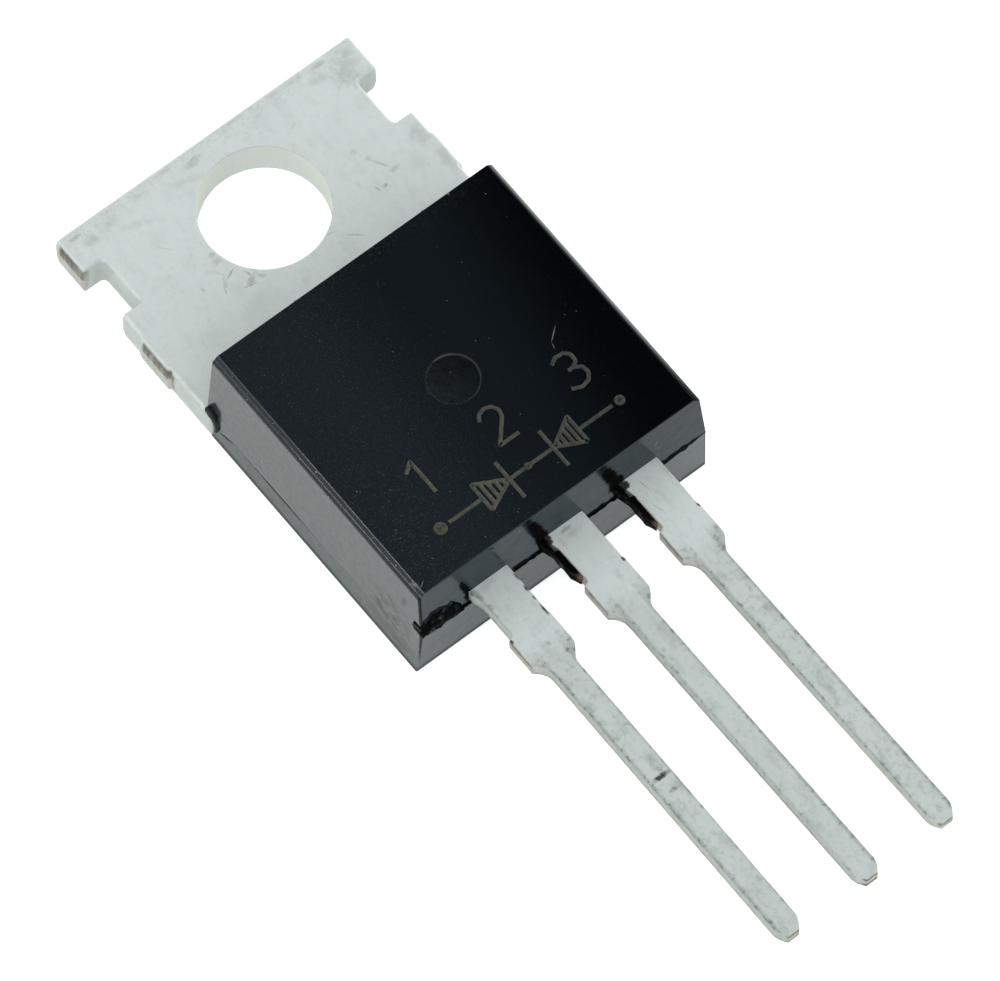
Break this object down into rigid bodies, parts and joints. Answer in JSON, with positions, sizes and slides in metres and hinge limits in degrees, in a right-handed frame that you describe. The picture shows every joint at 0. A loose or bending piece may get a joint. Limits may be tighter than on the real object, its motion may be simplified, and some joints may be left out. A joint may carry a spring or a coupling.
{
  "type": "schottky diode",
  "caption": "Dual Schottky rectifier diode with a common cathode, in a moulded power package with a screw tab and straight through-hole leads.",
  "frame": {"origin": "on the tab's bare back, on the part's centre line, at the middle of the moulded body's length", "axes": "+Y from the leads towards the screw hole, +Z away from the heat sink, towards the body's marked face, +X towards the right lead"},
  "size_m": [0.0102, 0.0287, 0.0043],
  "materials": {
    "tinned_copper": "satin tin plating over copper, copper-coloured at sheared cuts",
    "epoxy": "black moulding epoxy, semi-gloss",
    "silicon": "polished silicon",
    "solder": "dull solder",
    "aluminium_wire": "drawn aluminium wire"
  },
  "bodies": {
    "root": {"heatsink_tab": "tinned_copper", "anode_lead_left": "tinned_copper", "anode_lead_right": "tinned_copper", "moulded_body": "epoxy", "schottky_die_left": "silicon", "schottky_die_right": "silicon", "die_solder_left": "solder", "die_solder_right": "solder", "bond_wire_left_inner": "aluminium_wire", "bond_wire_left_outer": "aluminium_wire", "bond_wire_right_inner": "aluminium_wire", "bond_wire_right_outer": "aluminium_wire"}
  },
  "joints": []
}
